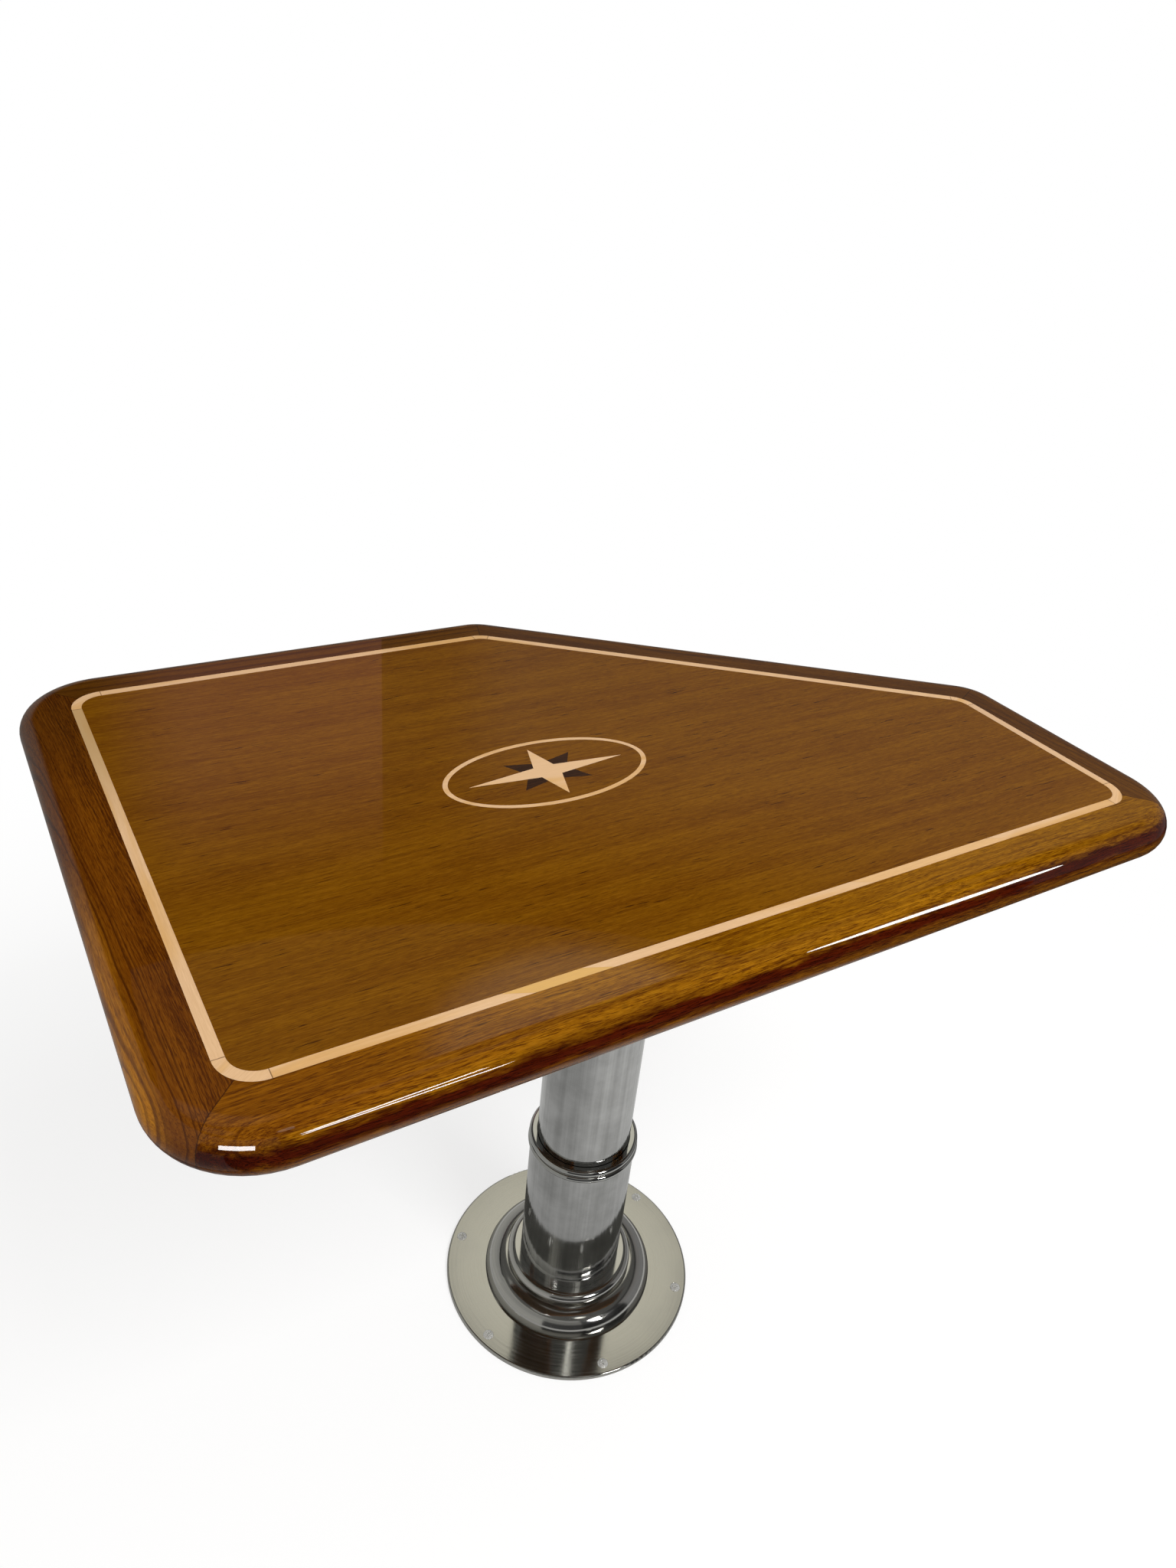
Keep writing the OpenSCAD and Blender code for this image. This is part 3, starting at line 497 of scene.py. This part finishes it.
def steelMaterial(name, settings):
    material, tree, shader, place = newMaterial(name)
    settings = {**steelDefaults, **settings}
    axes = splitAxes(tree, place)
    wrapped = (calc(tree, "ARCTAN2", axes[1], axes[0]), axes[2], hypotenuse(tree, axes[0], axes[1]))
    marks = noise(tree, stretch(tree, wrapped, settings["marks"]), detail=3.0, roughness=0.6)[0]
    smear = noise(tree, place, scale=settings["smearScale"], detail=4.0, roughness=0.6)[0]
    tone = calc(tree, "MULTIPLY_ADD", marks, 0.5, calc(tree, "MULTIPLY", smear, 0.5))
    colour = blendColour(tree, ramp(tree, tone, 0.3, 0.7), settings["dark"], settings["light"])
    roughness = ramp(tree, tone, 0.3, 0.75, to=settings["roughness"])
    finishShader(tree, shader, colour, roughness, marks, (settings["bump"], settings["depth"]))
    shader.inputs["Metallic"].default_value = settings["metal"]
    return material


# marks: how fine they are round the axis, up it and outwards
steels = {
    "flange_steel": {"marks": (0.6, 300, 700), "dark": (0.55, 0.54, 0.50), "light": (0.66, 0.65, 0.61),
                     "roughness": (0.07, 0.16), "bump": 0.12},
    "moulding_steel": {"marks": (0.6, 500, 500), "dark": (0.60, 0.59, 0.56), "light": (0.70, 0.69, 0.66),
                       "roughness": (0.09, 0.17), "bump": 0.08},
    "tube_steel": {"marks": (7.0, 2.0, 0), "dark": (0.42, 0.42, 0.41), "light": (0.68, 0.68, 0.67),
                   "roughness": (0.05, 0.12), "bump": 0.5, "depth": 0.0008},
    "collar_steel": {"marks": (0.6, 600, 500), "dark": (0.55, 0.55, 0.53), "light": (0.65, 0.65, 0.63),
                     "roughness": (0.04, 0.09), "bump": 0.08},
    "head_steel": {"marks": (0.6, 500, 600), "dark": (0.42, 0.42, 0.42), "light": (0.54, 0.54, 0.54),
                   "roughness": (0.24, 0.38), "bump": 0.3},
    "screw_steel": {"marks": (60, 300, 300), "dark": (0.74, 0.74, 0.71), "light": (0.84, 0.84, 0.80),
                    "roughness": (0.22, 0.34), "bump": 0.1, "smearScale": 160.0, "metal": 0.5},
    "ram_steel": {"marks": (0.8, 700, 0), "dark": (0.38, 0.38, 0.39), "light": (0.50, 0.50, 0.51),
                  "roughness": (0.12, 0.22), "bump": 0.2},
    "inner_steel": {"marks": (0.8, 600, 600), "dark": (0.28, 0.28, 0.29), "light": (0.40, 0.40, 0.41),
                    "roughness": (0.28, 0.42), "bump": 0.3},
}
for slot, settings in steels.items():
    materials[slot] = steelMaterial(slot, settings)
print("stage: steel")


# Rubber, acetal and plywood, seen in the gaps and from below
def mouldedMaterial(name, settings):
    material, tree, shader, place = newMaterial(name)
    speck = noise(tree, place, scale=settings["speck"], detail=4.0, roughness=0.65)[0]
    colour = blendColour(tree, ramp(tree, speck, 0.3, 0.7), settings["dark"], settings["light"])
    roughness = ramp(tree, speck, 0.3, 0.7, to=settings["roughness"])
    finishShader(tree, shader, colour, roughness, speck, (0.3, 0.0001))
    return material


def plywoodMaterial(name, settings):
    material, tree, shader, place = newMaterial(name)
    height = splitAxes(tree, place)[2]
    plies = calc(tree, "FRACT", calc(tree, "DIVIDE", height, settings["ply"] * 2))
    grain = addGroup(tree, woodGrain, {"Vector": place, **settings["grain"]})
    colour = blendColour(tree, ramp(tree, plies, 0.49, 0.51), settings["light"], settings["dark"])
    colour = addMark(tree, colour, grain["Fibre"], 0.4, settings["mark"])
    roughness = ramp(tree, grain["Fibre"], 0.0, 1.0, to=settings["roughness"])
    finishShader(tree, shader, colour, roughness, grain["Fibre"], (0.3, 0.0002))
    return material


moulded = {
    "seal_rubber": {"speck": 700.0, "dark": (0.010, 0.010, 0.010), "light": (0.022, 0.022, 0.022),
                    "roughness": (0.5, 0.7)},
    "bush_acetal": {"speck": 500.0, "dark": (0.68, 0.68, 0.64), "light": (0.74, 0.74, 0.70),
                    "roughness": (0.4, 0.55)},
}
for slot, settings in moulded.items():
    materials[slot] = mouldedMaterial(slot, settings)
plywood = {
    "ply": 0.0026, "light": (0.52, 0.36, 0.19), "dark": (0.40, 0.25, 0.12), "mark": (0.26, 0.15, 0.07),
    "roughness": (0.6, 0.8),
    "grain": {"Turn": 0.0, "Across": 0.8, "Below": -0.4, "Ring gap": 0.005, "Waver": 0.02, "Seed": 3.0},
}
materials["core_plywood"] = plywoodMaterial("core_plywood", plywood)
print("stage: rubber, acetal and plywood")

# Nodes by finish: each rim board and each length of the band has a finish of its own name
finishes = {
    "flange_steel": ["base_flange"],
    "screw_steel": ["base_screws", "head_screws", "ram_nut"],
    "moulding_steel": ["foot_moulding"],
    "tube_steel": ["lower_tube", "middle_tube", "upper_tube"],
    "collar_steel": ["lower_collar", "middle_collar", "head_hub"],
    "head_steel": ["head_plate"],
    "ram_steel": ["ram_rod", "ram_middle_tube", "ram_barrel"],
    "inner_steel": ["ram_rod_foot", "carrier_plate", "lower_key_rail", "middle_key_rail"],
    "seal_rubber": ["lower_wiper", "middle_wiper"],
    "bush_acetal": ["lower_guide_bush", "middle_guide_bush", "middle_foot_bush", "upper_foot_bush"],
    "core_plywood": ["top_core"],
    "under_teak": ["under_veneer"],
    "panel_teak": ["teak_panel"],
    "oval_pale": ["oval_ring"],
    "star_pale": ["star_light"],
    "star_dark": ["star_dark"],
}
nodeSlots = {name: slot for slot, names in finishes.items() for name in names}
for name, thing in nodes.items():
    if name.startswith("rim_"):
        slot = name + "_teak"
    elif name.startswith("band_corner"):
        slot = "band_corner_pale"
    elif name.startswith("band_"):
        slot = name + "_pale"
    else:
        slot = nodeSlots[name]
    thing.data.materials.clear()
    thing.data.materials.append(materials[slot])
print("stage: materials on the nodes")


# Studio: a disc of quads in rings round a fan of triangles, at one level
def diskMesh(rings, sides, level):
    angles = np.arange(sides) * 2 * np.pi / sides
    circle = np.column_stack([np.cos(angles), np.sin(angles)])
    flat = np.concatenate([np.zeros((1, 2))] + [radius * circle for radius in rings])
    points = np.column_stack([flat, np.full(len(flat), level)])
    here = 1 + np.arange(sides)
    after = 1 + (np.arange(sides) + 1) % sides
    faces = np.column_stack([np.zeros(sides, int), here, after]).tolist()
    for inner in sides * np.arange(len(rings) - 1):
        outer = inner + sides
        faces += np.column_stack([inner + here, outer + here, outer + after, inner + after]).tolist()
    return points.tolist(), faces


# A screen that stands on the line through x and y, and is one height all along
def screenMesh(x, y, height):
    foot = np.column_stack([x, y, np.zeros(len(x))])
    points = np.stack([foot, foot + (0, 0, height)], axis=1).reshape(-1, 3)
    low = 2 * np.arange(len(x) - 1)
    return points.tolist(), np.column_stack([low, low + 2, low + 3, low + 1]).tolist()


def addStage(name, points, faces, material):
    mesh = bpy.data.meshes.new(name)
    mesh.from_pydata(points, [], faces)
    mesh.materials.append(material)
    return addObject(name, mesh)


def makeFloor(settings):
    material, tree = emptyMaterial("floor")
    path = addNode(tree, "ShaderNodeLightPath").outputs
    place = addNode(tree, "ShaderNodeTexCoord").outputs["Object"]
    far = calcVector(tree, "LENGTH", place)["Value"]

    def diffuse(colour):
        return addNode(tree, "ShaderNodeBsdfDiffuse", {"Color": solid(colour)}).outputs[0]

    def glowing(colour, strength):
        return addNode(tree, "ShaderNodeEmission", {"Color": solid(colour), "Strength": strength}).outputs[0]

    def choose(factor, first, second):
        return addNode(tree, "ShaderNodeMixShader", {0: factor, 1: first, 2: second}).outputs[0]

    # Near the object the floor takes its shadow, and further out it turns into the white background
    soft = diffuse(blendColour(tree, ramp(tree, far, *settings["fade"]), (settings["soft"],) * 3, (0, 0, 0)))
    glow = glowing((1, 1, 1), ramp(tree, far, *settings["fade"], to=(settings["glow"], 1.0)))
    shown = addNode(tree, "ShaderNodeAddShader", {0: soft, 1: glow}).outputs[0]
    # In reflections it is mid grey round the foot and dark further out, with painted shadow that makes it darker near
    # the foot and to the left
    inner = fade(tree, far, *settings["mirroredFade"])
    left = ramp(tree, splitAxes(tree, place)[0], *settings["leftFade"], to=(settings["leftShadowDim"], 1.0))
    foot = ramp(tree, far, *settings["footFade"], to=(settings["footShadowDim"], 1.0))
    share = calc(tree, "MULTIPLY", inner, calc(tree, "MULTIPLY", left, foot))
    mirrored = glowing(blendColour(tree, share, settings["mirroredOut"], settings["mirroredIn"]), 1.0)
    mixed = choose(path["Is Camera Ray"], diffuse(settings["matt"]), shown)
    mixed = choose(path["Is Glossy Ray"], mixed, mirrored)
    # From below the floor is clear, so that the underside of the table can be seen
    clear = addNode(tree, "ShaderNodeBsdfTransparent").outputs[0]
    mixed = choose(addNode(tree, "ShaderNodeNewGeometry").outputs["Backfacing"], mixed, clear)
    addNode(tree, "ShaderNodeOutputMaterial", {0: mixed})
    addStage("floor", *diskMesh(settings["rings"], settings["sides"], settings["level"]), material)


makeFloor({
    "level": -0.0005, "sides": 96, "rings": [0.6, 1.5, 4.0, 30.0], "matt": (0.8, 0.8, 0.8), "soft": 0.36,
    "glow": 0.70, "fade": (0.45, 1.6), "mirroredIn": (0.55, 0.55, 0.54), "mirroredOut": (0.04, 0.04, 0.04),
    # The last four entries set the painted shadow seen in reflections, to the left and near the foot
    "mirroredFade": (0.42, 0.85), "leftFade": (-0.40, 0.05), "leftShadowDim": 0.62, "footFade": (0.1, 0.38),
    "footShadowDim": 0.7,
})


def makeWorld(settings):
    world = bpy.data.worlds.new("studio")
    bpy.context.scene.world = world
    world.use_nodes = True
    tree = world.node_tree
    tree.nodes.clear()
    path = addNode(tree, "ShaderNodeLightPath").outputs
    seen = calc(tree, "MAXIMUM", calc(tree, "MAXIMUM", path["Is Camera Ray"], path["Is Glossy Ray"]),
                path["Is Transmission Ray"])
    fill = addNode(tree, "ShaderNodeBackground", {"Color": (*settings["tint"], 1), "Strength": settings["fill"]})
    white = addNode(tree, "ShaderNodeBackground", {"Color": (1, 1, 1, 1), "Strength": 1.0})
    mixed = addNode(tree, "ShaderNodeMixShader", {0: seen, 1: fill.outputs[0], 2: white.outputs[0]})
    addNode(tree, "ShaderNodeOutputWorld", {0: mixed.outputs[0]})


makeWorld({"tint": (1.0, 0.98, 0.95), "fill": 0.48})


# Flags: dim screens round the studio that only reflections show, so that varnish and steel have contrast
def addFlag(name, points, faces, shade):
    material, tree = emptyMaterial(name)
    place = addNode(tree, "ShaderNodeTexCoord").outputs["Object"]
    glow = addNode(tree, "ShaderNodeEmission", {"Color": shade(tree, place), "Strength": 1.0}).outputs[0]
    addNode(tree, "ShaderNodeOutputMaterial", {0: glow})
    flag = addStage(name, points, faces, material)
    flag.visible_camera = False
    flag.visible_diffuse = False
    flag.visible_shadow = False


# Azimuths are seen from the camera's foot, and the wall stands round the column
def makeWall(name, settings):
    settings = {**wallShape, **settings}
    start, end = settings["azimuths"]
    steps = max(2, int((end - start) / settings["step"]))
    angles = np.radians(start + (end - start) * np.arange(steps + 1) / steps)
    foot = view["place"][:2]
    along = foot[0] * np.cos(angles) + foot[1] * np.sin(angles)
    reach = -along + np.sqrt(along ** 2 - foot[0] ** 2 - foot[1] ** 2 + settings["radius"] ** 2)
    line = (foot[0] + reach * np.cos(angles), foot[1] + reach * np.sin(angles))

    def shade(tree, place):
        axes = splitAxes(tree, place)
        middle = settings["middle"]
        if "turn" in settings:  # between these azimuths the middle goes over to the tone after them
            sides = [calc(tree, "SUBTRACT", axes[i], foot[i]) for i in (1, 0)]
            limits = [math.radians(angle) for angle in settings["turn"]]
            turn = ramp(tree, calc(tree, "ARCTAN2", *sides), *limits)
            middle = blendColour(tree, turn, middle, settings["after"])
        tone = blendColour(tree, ramp(tree, axes[2], *settings["lowFade"]), settings["low"], middle)
        return blendColour(tree, ramp(tree, axes[2], *settings["highFade"]), tone, settings["high"])

    addFlag(name, *screenMesh(*line, settings["height"]), shade)


def makeCeiling(name, settings):
    turns = np.arange(settings["sides"]) * 2 * np.pi / settings["sides"]
    level = np.full(settings["sides"], settings["level"])
    points = np.column_stack([settings["radius"] * np.cos(turns), settings["radius"] * np.sin(turns), level])

    def shade(tree, place):
        tone = settings["dark"]
        for spot, limits, bright in settings["patches"]:
            offset = calcVector(tree, "SUBTRACT", place, (*spot, settings["level"]))[0]
            tone = blendColour(tree, fade(tree, calcVector(tree, "LENGTH", offset)["Value"], *limits), tone, bright)
        return tone

    addFlag(name, points.tolist(), [tuple(range(settings["sides"]))], shade)


# A low curved card that only the foot and the collar reflect: it stays under the level of the top
def makeCard(name, settings):
    angles = np.linspace(*np.radians(settings["azimuths"]), settings["steps"])
    line = (settings["radius"] * np.cos(angles), settings["radius"] * np.sin(angles))

    def shade(tree, place):
        share = ramp(tree, splitAxes(tree, place)[2], settings["edge"], settings["height"])
        return blendColour(tree, share, settings["low"], settings["high"])

    addFlag(name, *screenMesh(*line, settings["height"]), shade)


wallShape = {"radius": 3.8, "height": 4.3, "step": 3, "lowFade": (1.5, 2.2), "highFade": (2.8, 3.8)}
walls = {
    "flag_right": {"azimuths": (-30, 68.7), "low": (0.20, 0.20, 0.20), "middle": (0.19, 0.185, 0.18),
                   "high": (0.012, 0.012, 0.012), "turn": (60.5, 66), "after": (0.06, 0.06, 0.06)},
    "flag_wall": {"azimuths": (68.7, 85), "low": (0.22, 0.22, 0.22), "middle": (0.42, 0.21, 0.22),
                  "high": (0.012, 0.012, 0.012), "turn": (78.5, 84.5), "after": (0.012, 0.010, 0.010)},
    "flag_left": {"azimuths": (85, 121), "low": (0.30, 0.30, 0.29), "middle": (0.012, 0.010, 0.010),
                  "high": (0.010, 0.010, 0.010)},
    "flag_side": {"azimuths": (121, 200), "low": (0.34, 0.34, 0.32), "middle": (0.34, 0.34, 0.31),
                  "high": (0.34, 0.34, 0.31)},
    "flag_camera": {"azimuths": (200, 268), "low": (0.05, 0.05, 0.05), "middle": (0.20, 0.20, 0.19),
                    "high": (0.30, 0.30, 0.29)},
    "flag_front": {"azimuths": (268, 330), "low": (0.02, 0.02, 0.02), "middle": (0.03, 0.03, 0.03),
                   "high": (0.04, 0.04, 0.04)},
}
for name, settings in walls.items():
    makeWall(name, settings)
makeCeiling("flag_ceiling", {
    "radius": 4.1, "level": 4.0, "sides": 48, "dark": (0.09, 0.09, 0.085),
    "patches": [((1.70, 2.36), (0.60, 0.85), (0.72, 0.70, 0.60)), ((-0.15, -2.35), (0.24, 0.40), (1.90, 1.90, 1.80)),
                ((-2.35, -0.90), (0.50, 0.80), (0.30, 0.30, 0.28)), ((-1.10, 1.00), (0.90, 1.40), (0.34, 0.34, 0.32)),
                ((0.70, 0.0), (0.30, 0.60), (0.25, 0.25, 0.24))],
})
makeCard("flag_card", {
    "radius": 0.80, "azimuths": (62, 216), "steps": 40, "height": 0.70, "edge": 0.05, "low": (0.36, 0.36, 0.34),
    "high": (0.26, 0.26, 0.25),
})


# A lamp has a place and a size, or it is a strip from one end to the other
def makeLamp(name, settings):
    data = bpy.data.lights.new(name, "AREA")
    data.shape = settings.get("shape", "RECTANGLE")
    data.energy = settings["power"]
    if "ends" in settings:
        start, end = np.array(settings["ends"], float)
        place, across = (start + end) / 2, end - start
        data.size, data.size_y = float(np.linalg.norm(across)), settings["width"]
    else:
        place, across = np.array(settings["place"], float), np.array((1.0, 0.0, 0.0))
        data.size, data.size_y = settings["size"]
    across /= np.linalg.norm(across)
    back = place - np.array(settings["aim"], float)
    back -= across.dot(back) * across
    back /= np.linalg.norm(back)
    lamp = addObject(name, data)
    setPlace(lamp, place.tolist(), [axis.tolist() for axis in (across, np.cross(back, across), back)])
    lamp.visible_glossy = settings.get("mirrored", True)
    lamp.visible_diffuse = not settings.get("mirrorOnly", False)
    lamp.visible_camera = False


# The key lights everything and no surface mirrors it. The rest only show as highlights on the front nose
lamps = {
    "key": {"place": (0.6, -2.4, 3.4), "aim": (0, 0, 0.6), "size": (1.4, 1.4), "power": 98, "mirrored": False},
    "bar_upper": {"ends": ((0.14, -2.90, 2.20), (0.75, -2.80, 2.30)), "width": 0.13, "aim": (-0.35, -0.29, 0.73),
                  "power": 11.0, "mirrorOnly": True},
    "bar_lower": {"ends": ((0.14, -2.95, 2.02), (0.80, -3.00, 1.70)), "width": 0.13, "aim": (-0.35, -0.29, 0.73),
                  "power": 11.0, "mirrorOnly": True},
    # Just outside the edge and level with the top's face, so that only the nose reflects them
    "line_right": {"ends": ((-0.0220, -0.2954, 0.7477), (0.2600, -0.2964, 0.7430)), "width": 0.0048,
                   "aim": (0.119, -0.2838, 0.7424), "power": 0.117, "shape": "ELLIPSE", "mirrorOnly": True},
    "dash_left": {"ends": ((-0.4589, -0.2866, 0.7426), (-0.4340, -0.3005, 0.7430)), "width": 0.0064,
                  "aim": (-0.4362, -0.2807, 0.7374), "power": 0.017, "mirrorOnly": True},
}
for name, settings in lamps.items():
    makeLamp(name, settings)

bpy.context.scene.view_settings.view_transform = "Standard"
print("stage: studio")
